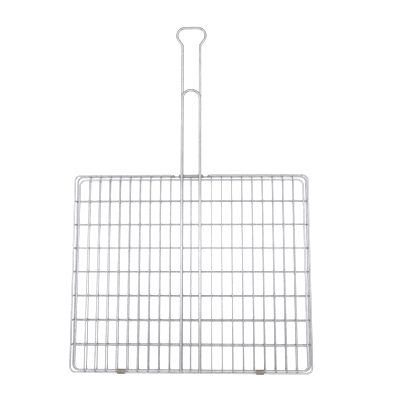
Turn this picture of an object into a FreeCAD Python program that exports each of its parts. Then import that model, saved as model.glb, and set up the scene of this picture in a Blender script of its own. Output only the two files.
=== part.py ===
"""Hinged wire grill basket: a shallow tray with a long handle, and a lid with a short one that nests in it.

Frame: +X across the basket, +Y from the hinge towards the handles, +Z up.
Origin: middle of the tray's footprint, on the surface that the basket lies on.
Millimetres and degrees throughout.
"""
import FreeCAD, Part
import os
from FreeCAD import Placement, Rotation, Vector

os.makedirs("parts", exist_ok=True)
doc = FreeCAD.newDocument("grill_basket")

# ---------------------------------------------------------------- sizes
def sheet(name, rows):
    """A spreadsheet of named sizes: name, number or formula, meaning."""
    table = doc.addObject("Spreadsheet::Sheet", name)
    for row, (alias, value, meaning) in enumerate(rows, start=1):
        table.set("A%d" % row, alias)
        table.set("B%d" % row, str(value))
        table.set("C%d" % row, meaning)
        table.setAlias("B%d" % row, alias)
    doc.recompute()
    return table


sheet("dims", (
    ("tray_width", 496, "tray frame, middle to middle of its side rods"),
    ("tray_length", 408, "tray frame, middle to middle of its end rods"),
    ("tray_depth", 22, "rail above the tray frame, middle to middle"),
    ("frame_rod", 4, "rod of the tray frame and rail"),
    ("lid_rod", 4, "rod of the lid frame"),
    ("cross_wire", 3, "wire across both grids"),
    ("long_wire", 2.5, "wire along both grids"),
    ("handle_rod", 6, "rod of both handles"),
    ("corner_radius", 12, "frame and rail corners"),
    ("wire_bend", 3, "wires bent up to the rail"),
    ("weld_bite", 0.15, "welded rods sink into each other"),
    ("end_margin", 54, "end rod to the first cross wire"),
    ("side_margin", 30, "side rod to the last long wire"),
    ("handle_half", 19.4, "handle legs from the middle"),
    ("lid_side_gap", 9, "lid frame inside the tray frame at the sides"),
    ("lid_end_gap", 8.7, "lid frame inside the tray frame by the handles"),
    ("hinge_clear", 0.6, "between the rail and the lid's hinge rod"),
    ("grip_reach", 335.5, "tray handle beyond the frame"),
    ("lid_grip_reach", 189.9, "lid handle beyond the tray frame"),
    ("lid_end_clear", 1.8, "between the handles at the lid handle's end"),
    ("bulb_radius", 18, "bulb's round shoulders"),
    ("bulb_flat_half", 13.5, "half of the bulb's flat top"),
    ("flare_angle", 35, "bulb's flanks to the legs"),
    ("neck_bend", 6, "outward bend below the bulb"),
    ("strap_width", 6.5, "handle strap along the handle"),
    ("strap_sheet", 1.1, "handle strap's sheet"),
    ("strap_side_gap", 2.9, "handle strap beside the legs"),
    ("strap_fit", 0.05, "handle strap over the legs and the frame"),
    ("strap_corner", 2.5, "handle strap's corners, inside"),
    ("strap_shift", 0.4, "handle strap's middle beyond the tray's end rod"),
    ("post_gap", 9.1, "handle strap to the rail's posts"),
    ("rail_bend", 4, "rail bent down to its posts"),
    ("wire_gap", 2.1, "rail's straight end to the first long wire"),
    ("clip_gap", 1.5, "hinge clip to the long wires beside it"),
    ("clip_strap", 1, "hinge clip's strap"),
    ("clip_clear", 0.06, "hinge clip round the rods"),
))

SIDE_WIRES = 9      # long wires on each side of the handle
CROSS_SIDE = 3      # cross wires on each side of the middle

sheet("at", (
    ("half_w", "=dims.tray_width / 2", "side rods"),
    ("half_l", "=dims.tray_length / 2", "end rods"),
    ("frame_z", "=dims.frame_rod / 2", "tray frame"),
    ("rail_z", "=frame_z + dims.tray_depth", "rail and hinge axis"),
    ("cross_reach", "=dims.wire_bend + dims.frame_rod / 2 + dims.cross_wire / 2 - dims.weld_bite",
     "middle of a cross wire's bend to the frame"),
    ("cross_z", "=frame_z + sqrt(cross_reach ^ 2 - dims.wire_bend ^ 2) - dims.wire_bend", "tray cross wires"),
    ("long_z", "=cross_z + dims.cross_wire / 2 + dims.long_wire / 2 - dims.weld_bite", "tray long wires"),
    ("leg_z", "=cross_z + dims.cross_wire / 2 + dims.handle_rod / 2 - dims.weld_bite", "tray handle"),
    ("riser_top", "=rail_z - dims.frame_rod / 2 + dims.weld_bite", "ends of the wires under the rail"),
    ("strap_half", "=dims.handle_half + dims.handle_rod / 2 + dims.strap_side_gap", "strap's inside, across"),
    ("strap_low", "=frame_z + dims.frame_rod / 2 + dims.strap_fit + dims.strap_sheet", "its inside, below"),
    ("strap_high", "=leg_z + dims.handle_rod / 2 + dims.strap_fit", "strap's inside, above"),
    ("strap_y", "=half_l + dims.strap_shift", "handle strap"),
    ("post_x", "=strap_half + dims.strap_sheet + dims.post_gap + dims.frame_rod / 2", "rail's posts"),
    ("first_x", "=post_x + dims.rail_bend + dims.wire_gap", "long wire next to the handle"),
    ("last_x", "=half_w - dims.side_margin", "long wire next to the side rod"),
    ("wire_pitch", "=(last_x - first_x) / %d" % (SIDE_WIRES - 1), "long wires"),
    ("cross_pitch", "=(dims.tray_length - 2 * dims.end_margin) / %d" % (2 * CROSS_SIDE), "cross wires"),
    ("top_y", "=half_l + dims.grip_reach", "bulb's flat top"),
    ("neck_out", "=dims.neck_bend * (1 - cos(dims.flare_angle * 1 deg))", "neck bend, sideways"),
    ("flank", "=(dims.bulb_flat_half + dims.bulb_radius * cos(dims.flare_angle * 1 deg) - dims.handle_half"
              " - neck_out) / sin(dims.flare_angle * 1 deg)", "bulb's straight flanks"),
    ("neck_y", "=top_y - dims.bulb_radius - (dims.bulb_radius + dims.neck_bend)"
               " * sin(dims.flare_angle * 1 deg) - flank * cos(dims.flare_angle * 1 deg)", "neck bend's start"),
    ("lid_half", "=half_w - dims.lid_side_gap", "lid's side rods"),
    ("lid_front", "=dims.tray_length - dims.lid_end_gap", "lid's end rod from the hinge axis"),
    ("hinge_offset", "=(dims.frame_rod + dims.lid_rod) / 2 + dims.hinge_clear", "rail to lid rod"),
    ("lid_start", "=hinge_offset - dims.lid_rod / 2", "lid's wires from the hinge axis"),
    ("lid_cross_z", "=(dims.lid_rod - dims.cross_wire) / 2", "lid's cross wires above its frame"),
    ("lid_long_z", "=(dims.lid_rod + dims.long_wire) / 2 - dims.weld_bite", "lid's long wires"),
    ("lid_leg_z", "=(dims.lid_rod + dims.handle_rod) / 2 - dims.weld_bite", "lid's handle above its frame"),
    ("lid_reach", "=dims.tray_length + dims.lid_grip_reach", "lid's handle from the hinge axis"),
    ("lid_tilt", "=asin((rail_z + lid_leg_z - leg_z - dims.handle_rod - dims.lid_end_clear) / lid_reach)"
                 " / 1 deg", "lid's slope down to the handles"),
    ("clip_x", "=first_x + 4.5 * wire_pitch", "hinge clips"),
    ("clip_long", "=wire_pitch - dims.long_wire - 2 * dims.clip_gap", "hinge clips along the hinge"),
    ("clip_rail_bore", "=dims.frame_rod / 2 + dims.clip_clear", "hinge clips' inside round the rail"),
    ("clip_lid_bore", "=dims.lid_rod / 2 + dims.clip_clear", "hinge clips' inside round the lid's rod"),
))

LID_PLACE = "placement(vector(0; -at.half_l; at.rail_z); rotation(vector(1; 0; 0); -at.lid_tilt))"

# ---------------------------------------------------------------- rod pieces
# each straight length's seam is turned off the plane of the bends, so that the joined faces meet cleanly
SEAM = Rotation(Vector(0, 0, 1), 45)
ALONG_X = Rotation(Vector(0, 1, 0), 90).multiply(SEAM)
ALONG_Y = Rotation(Vector(1, 0, 0), -90).multiply(SEAM)
ALONG_Z = SEAM
nodes = []


def turned(start, heading):
    """The turn that makes a bend start at one side of its middle and head another way."""
    first = Vector(*start)
    second = Vector(*heading)
    return Rotation(first, second, first.cross(second), "XYZ")


def bind_base(piece, x, y, z):
    """Tie a piece's place to the named sizes."""
    for axis, formula in (("x", x), ("y", y), ("z", z)):
        piece.setExpression("Placement.Base." + axis, formula)


def straight(label, rod, run, direction, x, y, z):
    """A straight length of rod that starts at x, y, z."""
    piece = doc.addObject("Part::Cylinder", "straight")
    piece.Label = label
    piece.Placement = Placement(Vector(), direction)
    piece.setExpression("Radius", "%s / 2" % rod)
    piece.setExpression("Height", run)
    bind_base(piece, x, y, z)
    return piece


def bend(label, rod, radius, turn, start, heading, x, y, z):
    """A bent length of rod: part of a ring about x, y, z."""
    piece = doc.addObject("Part::Torus", "bend")
    piece.Label = label
    piece.Placement = Placement(Vector(), turned(start, heading))
    piece.setExpression("Radius1", radius)
    piece.setExpression("Radius2", "%s / 2" % rod)
    piece.setExpression("Angle3", turn)
    bind_base(piece, x, y, z)
    return piece


def join(label, pieces, place=None):
    """One continuous rod from its straight and bent lengths."""
    node = doc.addObject("Part::MultiFuse", label)
    node.Label = label
    node.Shapes = pieces
    if place:
        node.setExpression("Placement", place)
    nodes.append(node)
    return node


LEFT, RIGHT = (-1, 0, 0), (1, 0, 0)
BACK, FRONT = (0, -1, 0), (0, 1, 0)
DOWN, UP = (0, 0, -1), (0, 0, 1)


def side_of(sign):
    """The direction to the left (-1) or right (1)."""
    return RIGHT if sign > 0 else LEFT


def rounded_end(label, rod, half, corner, y, z, sign):
    """Both corners of a frame at one end: sign -1 is the hinge end, 1 the handle end."""
    out = FRONT if sign > 0 else BACK
    return [bend(label + "_corner", rod, corner, "90", side_of(side), out,
                 "%d * (%s - %s)" % (side, half, corner), "%s - %d * %s" % (y, sign, corner), z)
            for side in (-1, 1)]


def closed_frame(label, rod, half, back, front, z, place=None):
    """A flat rectangle of rod with rounded corners."""
    corner = "dims.corner_radius"
    pieces = rounded_end(label, rod, half, corner, back, z, -1)
    pieces += rounded_end(label, rod, half, corner, front, z, 1)
    for side in (-1, 1):
        pieces.append(straight(label + "_side", rod, "%s - (%s) - 2 * %s" % (front, back, corner), ALONG_Y,
                               "%d * %s" % (side, half), "%s + %s" % (back, corner), z))
    for y in (back, front):
        pieces.append(straight(label + "_end", rod, "2 * (%s - %s)" % (half, corner), ALONG_X,
                               "%s - %s" % (corner, half), y, z))
    return join(label, pieces, place)


# ---------------------------------------------------------------- tray
FRAME_ROD = "dims.frame_rod"
HINGE, HANDLES = "-at.half_l", "at.half_l"
closed_frame("tray_frame", FRAME_ROD, "at.half_w", HINGE, HANDLES, "at.frame_z")


def tray_rail():
    """The raised rail: open at the handles, where its ends are bent down on to the frame."""
    label, corner, z, half = "tray_rail", "dims.corner_radius", "at.rail_z", "at.half_w"
    inner = "(at.post_x + dims.rail_bend)"
    foot = "at.frame_z + dims.frame_rod / 2 - dims.weld_bite"
    pieces = rounded_end(label, FRAME_ROD, half, corner, HINGE, z, -1)
    pieces += rounded_end(label, FRAME_ROD, half, corner, HANDLES, z, 1)
    pieces.append(straight(label + "_hinge_run", FRAME_ROD, "2 * (%s - %s)" % (half, corner), ALONG_X,
                           "%s - %s" % (corner, half), HINGE, z))
    for side in (-1, 1):
        pieces.append(straight(label + "_side", FRAME_ROD, "dims.tray_length - 2 * %s" % corner, ALONG_Y,
                               "%d * %s" % (side, half), "%s + %s" % (HINGE, corner), z))
        run = "%s - %s - %s" % (half, corner, inner)
        pieces.append(straight(label + "_front_run", FRAME_ROD, run, ALONG_X,
                               inner if side > 0 else "%s - %s" % (corner, half), HANDLES, z))
        pieces.append(bend(label + "_down_bend", FRAME_ROD, "dims.rail_bend", "90", UP, side_of(-side),
                           "%d * %s" % (side, inner), HANDLES, "%s - dims.rail_bend" % z))
        pieces.append(straight(label + "_post", FRAME_ROD, "%s - dims.rail_bend - (%s)" % (z, foot), ALONG_Z,
                               "%d * at.post_x" % side, HANDLES, foot))
    return join(label, pieces)


tray_rail()


def tray_cross_wire(place):
    """A wire across the tray frame, bent up at both ends to the rail."""
    label, rod, radius = "tray_cross_wire_%d" % (place + CROSS_SIDE + 1), "dims.cross_wire", "dims.wire_bend"
    y = "%d * at.cross_pitch" % place
    inner = "(at.half_w - %s)" % radius
    pieces = [straight(label + "_run", rod, "2 * %s" % inner, ALONG_X,
                       "-1 * %s" % inner, y, "at.cross_z")]
    for side in (-1, 1):
        pieces.append(bend(label + "_bend", rod, radius, "90", DOWN, side_of(side),
                           "%d * %s" % (side, inner), y, "at.cross_z + %s" % radius))
        pieces.append(straight(label + "_riser", rod, "at.riser_top - at.cross_z - %s" % radius, ALONG_Z,
                               "%d * at.half_w" % side, y, "at.cross_z + %s" % radius))
    join(label, pieces)


def tray_long_wire(x, number):
    """A wire along the tray, bent up to the rail; the middle one ends between the rail's posts."""
    label, rod, radius = "tray_long_wire_%02d" % number, "dims.long_wire", "dims.wire_bend"
    rise, above = "at.riser_top - at.long_z - %s" % radius, "at.long_z + %s" % radius
    inner = "(at.half_l - %s)" % radius
    bent_ends = (-1,) if x == "0" else (-1, 1)
    run = "at.half_l + %s" % inner if x == "0" else "2 * %s" % inner
    pieces = [straight(label + "_run", rod, run, ALONG_Y, x, "-1 * %s" % inner, "at.long_z")]
    for end in bent_ends:
        pieces.append(bend(label + "_bend", rod, radius, "90", DOWN, FRONT if end > 0 else BACK,
                           x, "%d * %s" % (end, inner), above))
        pieces.append(straight(label + "_riser", rod, rise, ALONG_Z, x, "%d * at.half_l" % end, above))
    join(label, pieces)


def wire_places():
    """The long wires' places across a grid, left to right."""
    outward = ["(at.first_x + %d * at.wire_pitch)" % step for step in range(SIDE_WIRES)]
    return ["-1 * " + x for x in reversed(outward)] + ["0"] + outward


for place in range(-CROSS_SIDE, CROSS_SIDE + 1):
    tray_cross_wire(place)
for number, x in enumerate(wire_places(), start=1):
    tray_long_wire(x, number)


def tray_handle():
    """One rod: two legs on the cross wires, over the frame, and a bulb at the far end."""
    label, rod, z = "tray_handle", "dims.handle_rod", "at.leg_z"
    splay, flat = "dims.flare_angle", "dims.bulb_flat_half"
    pieces = [straight(label + "_top", rod, "2 * %s" % flat, ALONG_X, "-1 * %s" % flat, "at.top_y", z)]
    for side in (-1, 1):
        pieces.append(straight(label + "_leg", rod, "at.neck_y + at.half_l", ALONG_Y,
                               "%d * dims.handle_half" % side, HINGE, z))
        pieces.append(bend(label + "_neck", rod, "dims.neck_bend", splay, side_of(-side), FRONT,
                           "%d * (dims.handle_half + dims.neck_bend)" % side, "at.neck_y", z))
        flank = doc.addObject("Part::Cylinder", "straight")
        flank.Label = label + "_flank"
        flank.setExpression("Radius", "%s / 2" % rod)
        flank.setExpression("Height", "at.flank")
        flank.setExpression("Placement",
                            "placement(vector(%d * (dims.handle_half + at.neck_out);"
                            " at.neck_y + dims.neck_bend * sin(%s * 1 deg); %s);"
                            " rotation(vector(0; 0; 1); %d * %s)) * placement(vector(0; 0; 0);"
                            " rotation(vector(1; 0; 0); -90))" % (side, splay, z, -side, splay))
        pieces.append(flank)
        pieces.append(bend(label + "_shoulder", rod, "dims.bulb_radius", "90 + %s" % splay, FRONT,
                           side_of(side), "%d * %s" % (side, flat), "at.top_y - dims.bulb_radius", z))
    join(label, pieces)


tray_handle()

# ---------------------------------------------------------------- lid
closed_frame("lid_frame", "dims.lid_rod", "at.lid_half", "at.hinge_offset", "at.lid_front", "0", LID_PLACE)


def lid_wire(label, rod, run, direction, turn, x, y, z):
    """A straight wire of the lid."""
    wire = doc.addObject("Part::Cylinder", label)
    wire.Label = label
    wire.setExpression("Radius", "%s / 2" % rod)
    wire.setExpression("Height", run)
    wire.setExpression("Placement", "%s * placement(vector(%s; %s; %s); rotation(vector(%s); %s))"
                       % (LID_PLACE, x, y, z, direction, turn))
    nodes.append(wire)


BUTT = "(at.lid_half - dims.lid_rod / 2 + dims.weld_bite)"
for place in range(-CROSS_SIDE, CROSS_SIDE + 1):
    lid_wire("lid_cross_wire_%d" % (place + CROSS_SIDE + 1), "dims.cross_wire", "2 * %s" % BUTT,
             "0; 1; 0", "90", "-1 * %s" % BUTT, "at.half_l + %d * at.cross_pitch" % place, "at.lid_cross_z")
for number, x in enumerate(wire_places(), start=1):
    lid_wire("lid_long_wire_%02d" % number, "dims.long_wire",
             "at.lid_front + dims.lid_rod / 2 - at.lid_start",
             "1; 0; 0", "-90", x, "at.lid_start", "at.lid_long_z")


def lid_handle():
    """One U of rod along the top of the lid's cross wires and out over the tray handle."""
    label, rod, z, half = "lid_handle", "dims.handle_rod", "at.lid_leg_z", "dims.handle_half"
    arch_y = "(at.lid_reach - %s)" % half
    pieces = [bend(label + "_arch", rod, half, "180", RIGHT, FRONT, "0", arch_y, z)]
    for side in (-1, 1):
        pieces.append(straight(label + "_leg", rod, "%s - at.lid_start" % arch_y, ALONG_Y,
                               "%d * %s" % (side, half), "at.lid_start", z))
    join(label, pieces, LID_PLACE)


lid_handle()


# ---------------------------------------------------------------- hinge clips and handle strap
def block(label, length, width, height, x, y, z):
    """A plain block."""
    box = doc.addObject("Part::Box", "block")
    box.Label = label
    for size, formula in (("Length", length), ("Width", width), ("Height", height)):
        box.setExpression(size, formula)
    bind_base(box, x, y, z)
    return box


def union(label, pieces):
    """Several pieces as one tool."""
    whole = doc.addObject("Part::MultiFuse", "union")
    whole.Label = label
    whole.Shapes = pieces
    return whole


def hollow(label, outer, inner, place=None):
    """A strap: the outer shape less the inner one."""
    node = doc.addObject("Part::Cut", label)
    node.Label = label
    node.Base = outer
    node.Tool = inner
    if place:
        node.setExpression("Placement", place)
    nodes.append(node)


def hinge_clip(label, side):
    """A closed strap round the tray's rail and the lid's hinge rod beside it, drawn flat."""
    x = "%d * at.clip_x - at.clip_long / 2" % side

    def oblong(name, wall, spare):
        """The strap's outer or inner shape."""
        start, run = "%s - %s" % (x, spare), "at.clip_long + 2 * %s" % spare
        rail, rod = "(at.clip_rail_bore + %s)" % wall, "(at.clip_lid_bore + %s)" % wall
        least = "min(%s; %s)" % (rail, rod)
        rounds = [straight(name, "2 * %s" % radius, run, ALONG_X, start, y, "0")
                  for radius, y in ((rail, "0"), (rod, "at.hinge_offset"))]
        web = block(name + "_web", run, "at.hinge_offset", "2 * %s" % least, start, "0", "-1 * %s" % least)
        return union(name + "_shape", rounds + [web])

    hollow(label, oblong(label + "_outer", "dims.clip_strap", "0"), oblong(label + "_inner", "0", "1"),
           LID_PLACE)


for label, side in (("hinge_clip_left", -1), ("hinge_clip_right", 1)):
    hinge_clip(label, side)


def handle_strap():
    """A flat strap bent round the tray handle's legs where they pass over the end rod."""
    label = "handle_strap"

    def rounded(name, spare, wall):
        """The strap's outer or inner shape: a block with four round corners."""
        start, run = "at.strap_y - dims.strap_width / 2 - %s" % spare, "dims.strap_width + 2 * %s" % spare
        half = "(at.strap_half + %s)" % wall
        low, high = "(at.strap_low - %s)" % wall, "(at.strap_high + %s)" % wall
        radius = "(dims.strap_corner + %s)" % wall
        pieces = [
            block(name + "_wide", "2 * %s" % half, run, "%s - %s - 2 * %s" % (high, low, radius),
                  "-1 * %s" % half, start, "%s + %s" % (low, radius)),
            block(name + "_tall", "2 * (%s - %s)" % (half, radius), run, "%s - %s" % (high, low),
                  "%s - %s" % (radius, half), start, low),
        ]
        for side in (-1, 1):
            for z in ("%s + %s" % (low, radius), "%s - %s" % (high, radius)):
                pieces.append(straight(name + "_corner", "2 * %s" % radius, run, ALONG_Y,
                                       "%d * (%s - %s)" % (side, half, radius), start, z))
        return union(name + "_shape", pieces)

    hollow(label, rounded(label + "_outer", "0", "dims.strap_sheet"), rounded(label + "_inner", "1", "0"))


handle_strap()

# ---------------------------------------------------------------- tests and files
doc.recompute()
for thing in doc.Objects:
    failed = {"Invalid", "Error"} & set(thing.State)
    if failed:
        raise RuntimeError("%s: %s" % (thing.Label, ", ".join(failed)))
    shape = getattr(thing, "Shape", None)
    if shape is not None and (shape.isNull() or not shape.isValid()):
        raise RuntimeError("%s has no valid shape" % thing.Label)
for node in nodes:
    if len(node.Shape.Solids) != 1:
        raise RuntimeError("%s is not one solid" % node.Label)
    node.Shape.exportStep("parts/%s.step" % node.Label)
overall = Part.makeCompound([node.Shape for node in nodes]).BoundBox
print("nodes %d, box x %.2f..%.2f y %.2f..%.2f z %.2f..%.2f"
      % (len(nodes), overall.XMin, overall.XMax, overall.YMin, overall.YMax, overall.ZMin, overall.ZMax))
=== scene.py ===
"""The looks of a hinged wire grill basket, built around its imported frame.

Metres throughout. +X is across the basket, +Y runs from the hinge to the handles, +Z is up.
"""
import logging
import math
from dataclasses import dataclass, field
from enum import Enum
from typing import Iterable

import bpy
from mathutils import Matrix, Vector


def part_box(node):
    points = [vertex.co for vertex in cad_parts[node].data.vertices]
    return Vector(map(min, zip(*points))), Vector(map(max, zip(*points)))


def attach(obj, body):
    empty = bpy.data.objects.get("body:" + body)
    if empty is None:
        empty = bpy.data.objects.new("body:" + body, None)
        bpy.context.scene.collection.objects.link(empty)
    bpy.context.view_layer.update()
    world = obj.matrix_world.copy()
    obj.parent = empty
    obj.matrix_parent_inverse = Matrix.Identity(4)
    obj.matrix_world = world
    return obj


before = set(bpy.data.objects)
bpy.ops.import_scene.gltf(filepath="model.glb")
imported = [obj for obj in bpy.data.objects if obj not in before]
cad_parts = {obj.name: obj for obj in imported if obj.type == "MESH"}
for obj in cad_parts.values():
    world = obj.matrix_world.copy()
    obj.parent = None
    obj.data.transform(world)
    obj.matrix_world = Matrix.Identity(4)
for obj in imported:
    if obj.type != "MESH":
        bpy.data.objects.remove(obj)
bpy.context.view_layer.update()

LOG = logging.getLogger("grill_basket")
MM = 0.001
CROSS_WIRES = 7
LONG_WIRES = 19
CROSS_RADIUS = 1.5 * MM      # cross wires
FRAME_RADIUS = 2.0 * MM      # frame and rail rod
HANDLE_RADIUS = 3.0 * MM     # handle rod
POST_GAP = 9.1 * MM          # from the strap's side to the rail's post
STRAP_SHEET = 1.1 * MM       # the strap's thickness


class Body(Enum):
    """The two bodies that pieces ride on."""

    TRAY = "tray"
    LID = "lid"


# ------------------------------------------------------------------ materials
# a mix node's colour sockets share their names with its number sockets, so they go by place
MIX_COLOUR_A = 6
MIX_COLOUR_B = 7
MIX_COLOUR_RESULT = 2


def linear(hex_colour: str) -> tuple[float, float, float, float]:
    """Turns an sRGB hex colour to linear light.

    Args:
        hex_colour: six hex digits.

    Returns:
        Red, green, blue and an alpha of one.
    """
    parts = [int(hex_colour[i:i + 2], 16) / 255 for i in (0, 2, 4)]
    red, green, blue = (c / 12.92 if c <= 0.04045 else ((c + 0.055) / 1.055) ** 2.4 for c in parts)
    return red, green, blue, 1.0


def add_node(tree: bpy.types.NodeTree, kind: str, settings: dict | None = None,
             links: dict | None = None) -> bpy.types.Node:
    """Adds a node with its settings and the links into it.

    Args:
        tree: the material's node tree.
        kind: the node's type name.
        settings: attributes and socket values by name.
        links: output sockets by the name of the input they feed.

    Returns:
        The new node.
    """
    node = tree.nodes.new(kind)
    for name, value in (settings or {}).items():
        if name in node.inputs:
            node.inputs[name].default_value = value
        else:
            setattr(node, name, value)
    for name, socket in (links or {}).items():
        tree.links.new(socket, node.inputs[name])
    return node


@dataclass(frozen=True)
class PlatedSteel:
    """Zinc-nickel plated steel: a cool bright metal with faint clouds and fine drawing marks.

    Attributes:
        name: the material's name.
        bright: hex colour of the plating at its thickest.
        dull: hex colour of the plating at its thinnest.
        roughness: mean roughness.
        cloud_mm: size of the clouds.
        grit_mm: size of the marks.
        grit_depth_mm: depth of the marks.
    """

    name: str
    bright: str
    dull: str
    roughness: float
    cloud_mm: float
    grit_mm: float
    grit_depth_mm: float

    def material(self) -> bpy.types.Material:
        """Builds the finish as a procedural material.

        Returns:
            The new material.
        """
        made = bpy.data.materials.new(self.name)
        made.use_nodes = True
        tree = made.node_tree
        tree.nodes.clear()
        place = add_node(tree, "ShaderNodeTexCoord").outputs["Object"]
        # plating takes unevenly, in clouds that are about as wide as the gaps between wires
        cloud = add_node(tree, "ShaderNodeTexNoise",
                         {"Scale": 1 / (self.cloud_mm * MM), "Detail": 3.0, "Roughness": 0.55},
                         {"Vector": place})
        tint = add_node(tree, "ShaderNodeMix", {"data_type": "RGBA"})
        tint.inputs[MIX_COLOUR_A].default_value = linear(self.dull)
        tint.inputs[MIX_COLOUR_B].default_value = linear(self.bright)
        tree.links.new(cloud.outputs["Fac"], tint.inputs["Factor"])
        # marks left by the die and by tumbling, drawn coarse enough to show
        grit = add_node(tree, "ShaderNodeTexNoise",
                        {"Scale": 1 / (self.grit_mm * MM), "Detail": 2.0, "Roughness": 0.6},
                        {"Vector": place})
        sheen = add_node(tree, "ShaderNodeMapRange",
                         {"From Min": 0.25, "From Max": 0.75, "To Min": self.roughness * 0.8,
                          "To Max": self.roughness * 1.25}, {"Value": grit.outputs["Fac"]})
        bump = add_node(tree, "ShaderNodeBump",
                        {"Strength": 0.35, "Distance": self.grit_depth_mm * MM},
                        {"Height": grit.outputs["Fac"]})
        steel = add_node(tree, "ShaderNodeBsdfPrincipled", {"Metallic": 1.0},
                         {"Base Color": tint.outputs[MIX_COLOUR_RESULT],
                          "Roughness": sheen.outputs["Result"],
                          "Normal": bump.outputs["Normal"]})
        add_node(tree, "ShaderNodeOutputMaterial", None, {"Surface": steel.outputs["BSDF"]})
        return made


class Finish(Enum):
    """Every finish on the basket."""

    # thin drawn wire, plated bright
    DRAWN_WIRE = PlatedSteel("plated_drawn_wire", "C2C2C7", "A4A4A9", 0.30, 14.0, 0.9, 0.02)
    # cross wires, thicker drawn wire, plated a trace warmer
    CROSS_WIRE = PlatedSteel("plated_cross_wire", "C4C3C6", "A2A1A4", 0.32, 12.0, 0.9, 0.02)
    # frame rod, drawn thicker, with coarser marks
    FRAME_ROD = PlatedSteel("plated_frame_rod", "CECED2", "B0B0B4", 0.30, 20.0, 1.1, 0.03)
    # handle rod, polished smoother than the rest
    HANDLE_ROD = PlatedSteel("plated_handle_rod", "CACACE", "AEAEB3", 0.22, 26.0, 1.2, 0.02)
    # pressed and bent sheet, plated duller and greyer
    PRESSED_SHEET = PlatedSteel("plated_pressed_sheet", "A9A9AA", "848485", 0.34, 9.0, 0.7, 0.03)
    # the hinge clips' strip: passivated to a shiny brown-grey
    CLIP_STRIP = PlatedSteel("passivated_clip_strip", "A0978B", "6E665C", 0.24, 6.0, 0.7, 0.03)
    # weld metal under the plating: dull, rough and faintly straw-coloured
    WELD_BEAD = PlatedSteel("plated_weld_bead", "A8A5A0", "86837E", 0.45, 4.0, 0.5, 0.06)


class Finishes:
    """Makes each finish once and puts it on pieces."""

    def __init__(self) -> None:
        """Builds every material."""
        self.made = {finish: finish.value.material() for finish in Finish}

    def dress(self, piece: bpy.types.Object, finish: Finish) -> None:
        """Gives a piece its only material.

        Args:
            piece: the piece to dress.
            finish: its finish.
        """
        piece.data.materials.clear()
        piece.data.materials.append(self.made[finish])

    def dress_frame(self) -> None:
        """Gives every carried-over node its finish, by what it is made of."""
        # the strap is named before the handle, because its name holds both words
        kinds = (("cross_wire", Finish.CROSS_WIRE), ("long_wire", Finish.DRAWN_WIRE),
                 ("strap", Finish.PRESSED_SHEET), ("clip", Finish.CLIP_STRIP),
                 ("handle", Finish.HANDLE_ROD), ("frame", Finish.FRAME_ROD),
                 ("rail", Finish.FRAME_ROD))
        for name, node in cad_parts.items():
            self.dress(node, next(finish for word, finish in kinds if word in name))
            LOG.info("dressed %s", name)


# ------------------------------------------------------------------ shared modelling
def deselect_all() -> None:
    """Clears the selection, so that an operator acts only on what is added next."""
    if bpy.context.object and bpy.context.object.mode != "OBJECT":
        bpy.ops.object.mode_set(mode="OBJECT")
    bpy.ops.object.select_all(action="DESELECT")


def settle(piece: bpy.types.Object, name: str, body: Body) -> bpy.types.Object:
    """Names a finished piece, puts its place in its mesh and sets it on its body.

    Args:
        piece: the finished object.
        name: its name.
        body: the body that it rides on.

    Returns:
        The same object.
    """
    deselect_all()
    piece.select_set(True)
    bpy.context.view_layer.objects.active = piece
    bpy.ops.object.transform_apply(location=True, rotation=True, scale=True)
    piece.name = piece.data.name = name
    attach(piece, body.value)
    LOG.info("made %s", name)
    return piece


def shape(piece: bpy.types.Object, across: float, along: float, tall: float) -> None:
    """Stretches a new piece's mesh about its middle and smooths it.

    Args:
        piece: the piece, just added and active.
        across: the factor along X.
        along: the factor along Y.
        tall: the factor along Z.
    """
    bpy.context.view_layer.objects.active = piece
    bpy.ops.object.mode_set(mode="EDIT")
    bpy.ops.mesh.select_all(action="SELECT")
    bpy.ops.transform.resize(value=(across, along, tall))
    bpy.ops.object.mode_set(mode="OBJECT")
    bpy.ops.object.shade_smooth()


def middle(node: str) -> Vector:
    """Finds the middle of a node's box.

    Args:
        node: the node's name.

    Returns:
        The middle.
    """
    low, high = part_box(node)
    return (low + high) / 2


def long_wire_places(body: Body) -> list[float]:
    """Finds the x of every long wire of a body, from left to right.

    Args:
        body: the body that the wires belong to.

    Returns:
        Each wire's x.
    """
    return [middle(f"{body.value}_long_wire_{wire:02d}").x for wire in range(1, LONG_WIRES + 1)]


def tray_seat(row: int) -> tuple[float, float]:
    """Finds the line on top of a cross wire of the tray, where things rest on it.

    Args:
        row: the cross wire's number, from the hinge.

    Returns:
        The line's y and z.
    """
    node = f"tray_cross_wire_{row}"
    low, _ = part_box(node)
    return middle(node).y, low.z + 2 * CROSS_RADIUS


def leg_offset() -> float:
    """Finds how far each handle leg is from the middle, which is alike on tray and lid.

    Returns:
        The distance along X.
    """
    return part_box("lid_handle")[1].x - HANDLE_RADIUS


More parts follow.
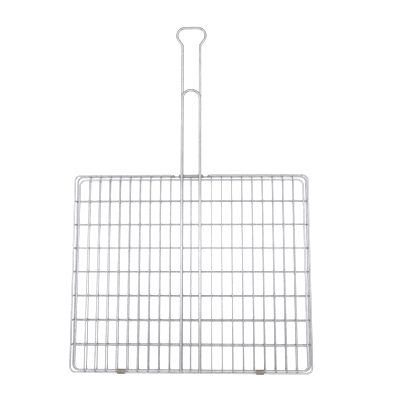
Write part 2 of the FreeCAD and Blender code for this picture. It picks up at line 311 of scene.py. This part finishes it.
@dataclass
class Nugget:
    """A resistance weld: a low swelling where two wires were pressed together hot.

    Attributes:
        reach: its radius in plan.
        height: half its height.
        around: faces round it.
        rings: rows of faces from its bottom to its top.
    """

    reach: float = 1.9 * MM
    height: float = 0.95 * MM
    around: int = 10
    rings: int = 6

    def model(self) -> bpy.types.Object:
        """Shapes one nugget from a flattened ball.

        Returns:
            The nugget, at the origin.
        """
        deselect_all()
        bpy.ops.mesh.primitive_uv_sphere_add(segments=self.around, ring_count=self.rings,
                                             radius=self.reach)
        nugget = bpy.context.object
        shape(nugget, 1.0, 1.0, self.height / self.reach)
        return nugget

    def scatter(self, name: str, places: Iterable[Vector], body: Body) -> bpy.types.Object:
        """Copies the nugget to every place and joins the copies.

        Args:
            name: the joined piece's name.
            places: where the nuggets' middles are.
            body: the body that they ride on.

        Returns:
            The joined piece.
        """
        first = self.model()
        spots = list(places)
        copies = []
        for spot in spots[1:]:
            copy = first.copy()
            copy.data = first.data.copy()
            copy.location = spot
            bpy.context.scene.collection.objects.link(copy)
            copies.append(copy)
        first.location = spots[0]
        deselect_all()
        for copy in copies:
            copy.select_set(True)
        first.select_set(True)
        bpy.context.view_layer.objects.active = first
        bpy.ops.object.join()
        return settle(first, name, body)


# ------------------------------------------------------------------ welds
@dataclass
class TrayWelds:
    """The tray's welds: wire on wire, wire under rail and handle on wire."""

    nugget: Nugget = field(default_factory=Nugget)

    def crossings(self) -> list[Vector]:
        """Finds where the long wires rest on the cross wires.

        Returns:
            The middles of the welds.
        """
        found = []
        for row in range(1, CROSS_WIRES + 1):
            y, top = tray_seat(row)
            found += [Vector((x, y, top)) for x in long_wire_places(Body.TRAY)]
        return found

    def risers(self) -> list[Vector]:
        """Finds where the bent-up ends of the wires meet the rail.

        Returns:
            The middles of the welds.
        """
        low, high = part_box("tray_rail")
        under = high.z - 2 * FRAME_RADIUS
        hinge_end, handle_end = low.y + FRAME_RADIUS, high.y - FRAME_RADIUS
        found = []
        for row in range(1, CROSS_WIRES + 1):
            y = middle(f"tray_cross_wire_{row}").y
            found += [Vector((x, y, under)) for x in (low.x + FRAME_RADIUS, high.x - FRAME_RADIUS)]
        for x in long_wire_places(Body.TRAY):
            # the middle wire ends between the handle's legs, where there is no rail
            ends = (hinge_end,) if abs(x) < MM else (hinge_end, handle_end)
            found += [Vector((x, y, under)) for y in ends]
        return found

    def handle_seats(self) -> list[Vector]:
        """Finds where the handle's legs lie on the cross wires.

        Returns:
            The middles of the welds.
        """
        half = leg_offset()
        found = []
        for row in range(1, CROSS_WIRES + 1):
            y, top = tray_seat(row)
            found += [Vector((side * half, y, top)) for side in (-1, 1)]
        return found

    def build(self, finishes: Finishes) -> None:
        """Models and dresses every weld of the tray.

        Args:
            finishes: the materials.
        """
        for name, places in (("tray_grid_welds", self.crossings()),
                             ("tray_rail_welds", self.risers()),
                             ("tray_handle_welds", self.handle_seats())):
            welds = self.nugget.scatter(name, places, Body.TRAY)
            finishes.dress(welds, Finish.WELD_BEAD)


@dataclass
class LidWelds:
    """The lid's welds, which follow its slope."""

    nugget: Nugget = field(default_factory=Nugget)

    def crossings(self, across: Iterable[float]) -> list[Vector]:
        """Finds where things along the lid rest on its cross wires.

        Args:
            across: the x of each thing that crosses.

        Returns:
            The middles of the welds.
        """
        first, last = middle("lid_cross_wire_1"), middle(f"lid_cross_wire_{CROSS_WIRES}")
        run = (last - first).normalized()
        out = Vector((0.0, -run.z, run.y))
        xs = list(across)
        found = []
        for row in range(1, CROSS_WIRES + 1):
            centre = middle(f"lid_cross_wire_{row}") + out * CROSS_RADIUS
            found += [Vector((x, centre.y, centre.z)) for x in xs]
        return found

    def build(self, finishes: Finishes) -> None:
        """Models and dresses every weld of the lid.

        Args:
            finishes: the materials.
        """
        half = leg_offset()
        for name, xs in (("lid_grid_welds", long_wire_places(Body.LID)),
                         ("lid_handle_welds", (-half, half))):
            welds = self.nugget.scatter(name, self.crossings(xs), Body.LID)
            finishes.dress(welds, Finish.WELD_BEAD)


@dataclass
class PostWelds:
    """Collars of weld metal where the rail's two posts stand on the tray frame.

    Attributes:
        spread: half the collar's thickness.
        squeeze: the collar's depth along the basket, as a part of its width.
        sink: how far the collar's middle lies below the frame's top.
    """

    spread: float = 0.9 * MM
    squeeze: float = 0.85
    sink: float = 0.1 * MM

    def build(self, finishes: Finishes) -> None:
        """Models and dresses both collars.

        Args:
            finishes: the materials.
        """
        frame_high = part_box("tray_frame")[1]
        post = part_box("handle_strap")[1].x + POST_GAP + FRAME_RADIUS
        for side, word in ((-1, "left"), (1, "right")):
            deselect_all()
            place = (side * post, frame_high.y - FRAME_RADIUS, frame_high.z - self.sink)
            bpy.ops.mesh.primitive_torus_add(location=place, major_radius=FRAME_RADIUS,
                                             minor_radius=self.spread, major_segments=24,
                                             minor_segments=8)
            bead = bpy.context.object
            shape(bead, 1.0, self.squeeze, 1.0)
            settle(bead, f"rail_post_weld_{word}", Body.TRAY)
            finishes.dress(bead, Finish.WELD_BEAD)


@dataclass
class StrapWelds:
    """Short beads that hold the strap to the handle's legs, on both of its edges.

    Attributes:
        length: each bead's length across the leg.
        radius: half each bead's width.
        flatten: each bead's height, as a part of its width.
    """

    length: float = 4.0 * MM
    radius: float = 0.8 * MM
    flatten: float = 0.8

    def build(self, finishes: Finishes) -> None:
        """Models and dresses the four beads on top of the legs.

        Args:
            finishes: the materials.
        """
        low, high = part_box("handle_strap")
        half = leg_offset()
        spots = [(side * half, y) for side in (-1, 1) for y in (low.y, high.y)]
        for number, (x, y) in enumerate(spots, start=1):
            deselect_all()
            bpy.ops.mesh.primitive_uv_sphere_add(segments=16, ring_count=10, radius=self.radius,
                                                 location=(x, y, high.z - STRAP_SHEET))
            bead = bpy.context.object
            shape(bead, self.length / (2 * self.radius), 1.0, self.flatten)
            settle(bead, f"strap_weld_{number}", Body.TRAY)
            finishes.dress(bead, Finish.WELD_BEAD)


# ------------------------------------------------------------------ bent sheet
@dataclass
class ClipLap:
    """The overlapped end of a hinge clip's strip, laid flat on the clip's top.

    Attributes:
        side: left or right.
        length: the lap's length round the clip.
        sheet: its thickness.
        inset: how far its ends stop short of the clip's.
        bite: how far it is pressed into the clip's top.
        back: how far its middle is set back from the clip's.
        edge: the roundness of its edges.
    """

    side: str
    length: float = 5.2 * MM
    sheet: float = 0.7 * MM
    inset: float = 1.1 * MM
    bite: float = 0.12 * MM
    back: float = 0.4 * MM
    edge: float = 0.22 * MM

    def build(self, finishes: Finishes) -> None:
        """Models and dresses the lap on top of its clip.

        Args:
            finishes: the materials.
        """
        low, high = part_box(f"hinge_clip_{self.side}")
        width = high.x - low.x - 2 * self.inset
        deselect_all()
        place = ((low.x + high.x) / 2, (low.y + high.y) / 2 - self.back,
                 high.z - self.bite + self.sheet / 2)
        bpy.ops.mesh.primitive_cube_add(size=1, location=place)
        lap = bpy.context.object
        lap.scale = (width, self.length, self.sheet)
        bpy.ops.object.transform_apply(location=False, rotation=False, scale=True)
        bpy.ops.object.mode_set(mode="EDIT")
        bpy.ops.mesh.select_all(action="SELECT")
        bpy.ops.mesh.bevel(offset=self.edge, segments=3, affect="EDGES")
        bpy.ops.object.mode_set(mode="OBJECT")
        bpy.ops.object.shade_smooth_by_angle(angle=math.radians(35))
        settle(lap, f"hinge_clip_lap_{self.side}", Body.LID)
        finishes.dress(lap, Finish.CLIP_STRIP)


# ------------------------------------------------------------------ studio
@dataclass(frozen=True)
class Lamp:
    """A soft rectangular lamp that faces the basket.

    Attributes:
        name: its name.
        place: where it hangs.
        size: its two sides.
        watts: its power.
    """

    name: str
    place: tuple[float, float, float]
    size: tuple[float, float]
    watts: float


@dataclass
class Studio:
    """A pale floor, soft light from above and the camera.

    Attributes:
        camera_place: where the camera is.
        camera_target: what it looks at.
        focal_mm: its focal length.
        sensor_mm: its sensor's width.
        floor_half: half the floor's side.
        floor_drop: how far the floor lies under the basket.
        floor_colour: hex colour of the unlit floor.
        floor_glow: how brightly the floor shows in reflections.
        sky_level: brightness of the room.
        lamp_target: where every lamp points.
        lamps: the lamps.
    """

    camera_place: Vector = field(default_factory=lambda: Vector((0.0492, 0.042, 1.044)))
    camera_target: Vector = field(default_factory=lambda: Vector((0.0192, 0.153, 0.007)))
    focal_mm: float = 43.6
    sensor_mm: float = 36.0
    floor_half: float = 4.0
    floor_drop: float = 0.2 * MM
    floor_colour: str = "909090"
    floor_glow: float = 0.33
    sky_level: float = 0.55
    lamp_target: Vector = field(default_factory=lambda: Vector((0, 0.1, 0)))
    # the grip's two lamps leave a dark gap between them: rods along the basket stay bright,
    # and rods across it, at the ends of both handles, turn greyer
    lamps: tuple[Lamp, ...] = (
        Lamp("top_box", (0.0, 0.1, 2.2), (2.2, 2.0), 12.0),
        Lamp("left_grip_box", (-0.7, 0.9, 1.2), (0.7, 0.6), 2.4),
        Lamp("right_grip_box", (0.7, 0.9, 1.2), (0.7, 0.6), 2.4),
        Lamp("left_box", (-1.6, 0.1, 1.3), (0.8, 2.4), 8.0),
        Lamp("right_box", (1.6, 0.1, 1.3), (0.8, 2.4), 8.0),
        Lamp("hinge_box", (0.0, -1.7, 1.3), (2.4, 0.8), 12.0),
    )

    def floor(self) -> None:
        """Lays the floor just under the basket."""
        deselect_all()
        bpy.ops.mesh.primitive_plane_add(size=2 * self.floor_half,
                                         location=(0, 0, -self.floor_drop))
        floor = bpy.context.object
        floor.name = "floor"
        paint = bpy.data.materials.new("studio_floor")
        paint.use_nodes = True
        tree = paint.node_tree
        tree.nodes.clear()
        # seen directly it is clean white; the rods reflect it greyer, so their edges show
        ray = add_node(tree, "ShaderNodeLightPath").outputs["Is Camera Ray"]
        glow = add_node(tree, "ShaderNodeMapRange",
                        {"From Min": 0.0, "From Max": 1.0,
                         "To Min": self.floor_glow, "To Max": 1.0}, {"Value": ray})
        # a matt screen, lit evenly from behind
        matt = add_node(tree, "ShaderNodeBsdfPrincipled",
                        {"Base Color": linear(self.floor_colour), "Roughness": 0.9,
                         "Specular IOR Level": 0.1, "Emission Color": linear("FFFFFF")},
                        {"Emission Strength": glow.outputs["Result"]})
        add_node(tree, "ShaderNodeOutputMaterial", None, {"Surface": matt.outputs["BSDF"]})
        floor.data.materials.append(paint)

    def hang(self, lamp: Lamp) -> None:
        """Hangs a lamp and points it at the basket.

        Args:
            lamp: the lamp.
        """
        data = bpy.data.lights.new(lamp.name, "AREA")
        data.shape = "RECTANGLE"
        data.size, data.size_y = lamp.size
        data.energy = lamp.watts
        light = bpy.data.objects.new(lamp.name, data)
        bpy.context.scene.collection.objects.link(light)
        light.location = lamp.place
        aim = self.lamp_target - Vector(lamp.place)
        light.rotation_euler = aim.to_track_quat("-Z", "Y").to_euler()

    def sky(self) -> None:
        """Fills the room with even grey light."""
        world = bpy.data.worlds.new("studio")
        bpy.context.scene.world = world
        world.use_nodes = True
        shade = world.node_tree.nodes["Background"]
        shade.inputs["Color"].default_value = (1.0, 1.0, 1.0, 1.0)
        shade.inputs["Strength"].default_value = self.sky_level

    def camera(self) -> None:
        """Sets the camera, looking almost straight down with +Y up in the view."""
        data = bpy.data.cameras.new("camera")
        data.lens = self.focal_mm
        data.sensor_width = self.sensor_mm
        camera = bpy.data.objects.new("camera", data)
        bpy.context.scene.collection.objects.link(camera)
        ahead = (self.camera_target - self.camera_place).normalized()
        right = ahead.cross(Vector((0, 1, 0))).normalized()
        above = right.cross(ahead)
        turn = Matrix((right, above, -ahead)).transposed().to_4x4()
        camera.matrix_world = Matrix.Translation(self.camera_place) @ turn
        bpy.context.scene.camera = camera

    def build(self) -> None:
        """Sets up the floor, the light and the camera."""
        self.floor()
        self.sky()
        for lamp in self.lamps:
            self.hang(lamp)
        self.camera()
        bpy.context.scene.view_settings.view_transform = "Standard"


def main() -> None:
    """Builds the studio, dresses the frame and adds every new piece."""
    logging.basicConfig(level=logging.INFO, format="%(name)s: %(message)s")
    Studio().build()
    finishes = Finishes()
    finishes.dress_frame()
    TrayWelds().build(finishes)
    LidWelds().build(finishes)
    for side in ("left", "right"):
        ClipLap(side).build(finishes)
    PostWelds().build(finishes)
    StrapWelds().build(finishes)


if __name__ == "__main__":
    main()
